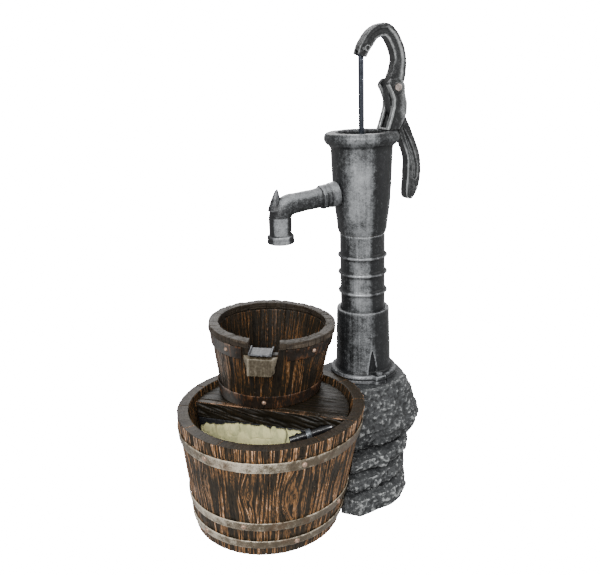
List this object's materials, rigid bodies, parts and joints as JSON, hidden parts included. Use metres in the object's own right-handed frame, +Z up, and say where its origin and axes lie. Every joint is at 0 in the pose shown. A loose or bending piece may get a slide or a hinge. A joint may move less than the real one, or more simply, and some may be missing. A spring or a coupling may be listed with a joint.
{
  "type": "hand well pump fountain",
  "caption": "Cast hand pump with lever, rod and spout on a stacked-stone pedestal, above a small tub that spills into a low half-barrel tub.",
  "frame": {"origin": "on the ground, below the axis of the pump column, on the underside of the foot stone", "axes": "+Z up along the pump column, -X along the spout, the lever swings in the XZ plane"},
  "size_m": [0.4487, 0.3245, 0.7639],
  "materials": {
    "iron": "black iron, dry-brushed silver on the high spots",
    "rod_steel": "dark blue-grey smooth bar",
    "bolt_steel": "dull pale steel",
    "brass": "machined",
    "leather": "oiled",
    "black_pipe": "glossy black",
    "oak": "dark stain over carved grain, copper-brown highlights",
    "rim_wood": "grey-brown weathered top",
    "cream_board": "cream, unpainted, with dark mottling",
    "hoop_metal": "aged bronze-grey",
    "stone": "dark grey with pale speckle"
  },
  "bodies": {
    "root": {"base_bolt_front": "bolt_steel", "base_bolt_rear": "bolt_steel", "column_pipe": "iron", "cylinder_liner": "brass", "deck_beam": "oak", "deck_board": "oak", "foot_valve_seat": "brass", "fulcrum_bolt": "bolt_steel", "fulcrum_nut": "bolt_steel", "fulcrum_post": "iron", "inlet_pipe": "black_pipe", "low_floor": "oak", "low_hoop_1": "hoop_metal", "low_hoop_2": "hoop_metal", "low_hoop_3": "hoop_metal", "low_stave_01": "oak", "low_stave_02": "oak", "low_stave_03": "oak", "low_stave_04": "oak", "low_stave_05": "oak", "low_stave_06": "oak", "low_stave_07": "oak", "low_stave_08": "oak", "low_stave_09": "oak", "low_stave_10": "oak", "low_stave_11": "oak", "low_stave_12": "oak", "partition_board": "cream_board", "pipe_clip": "bolt_steel", "pipe_collar": "black_pipe", "pump_base": "iron", "pump_body": "iron", "riser_pipe": "black_pipe", "small_floor": "oak", "small_hoop_lower": "hoop_metal", "small_hoop_upper": "hoop_metal", "small_rim": "rim_wood", "small_stave_1": "oak", "small_stave_2": "oak", "small_stave_3": "oak", "small_stave_4": "oak", "small_stave_5": "oak", "small_stave_6": "oak", "small_stave_7": "oak", "small_stave_8": "oak", "spillway_chute": "oak", "spillway_lip": "oak", "spout": "iron", "stone_foot": "stone", "stone_middle": "stone", "stone_top": "stone", "stone_upper": "stone"},
    "handle": {"handle": "iron", "hook_pin": "bolt_steel"},
    "rod": {"piston_rod": "rod_steel"},
    "plunger": {"plunger": "brass", "cup_leather": "leather"},
    "plunger_valve": {"plunger_valve": "brass"},
    "foot_flap": {"foot_valve_flap": "leather"}
  },
  "joints": [
    {"name": "handle_pivot", "type": "hinge", "parent": "root", "child": "handle", "pos_m": [0.055, 0, 0.668], "axis": [0, -1, 0], "range_deg": [0, 40]},
    {"name": "rod_pivot", "type": "hinge", "parent": "handle", "child": "rod", "pos_m": [0, 0, 0.727], "axis": [0, -1, 0], "range_deg": [-36, 0]},
    {"name": "plunger_slide", "type": "slide", "parent": "root", "child": "plunger", "axis": [0, 0, 1], "range_m": [-0.052, 0]},
    {"name": "valve_lift", "type": "slide", "parent": "plunger", "child": "plunger_valve", "axis": [0, 0, 1], "range_m": [0, 0.003]},
    {"name": "flap_hinge", "type": "hinge", "parent": "root", "child": "foot_flap", "pos_m": [0.0145, 0, 0.3615], "axis": [0, 1, 0], "range_deg": [0, 25]}
  ],
  "couplings": [
    {"joint": "rod_pivot", "follows": "handle_pivot", "ratio": -0.847},
    {"joint": "plunger_slide", "follows": "handle_pivot", "m_per_rad": -0.0716}
  ]
}
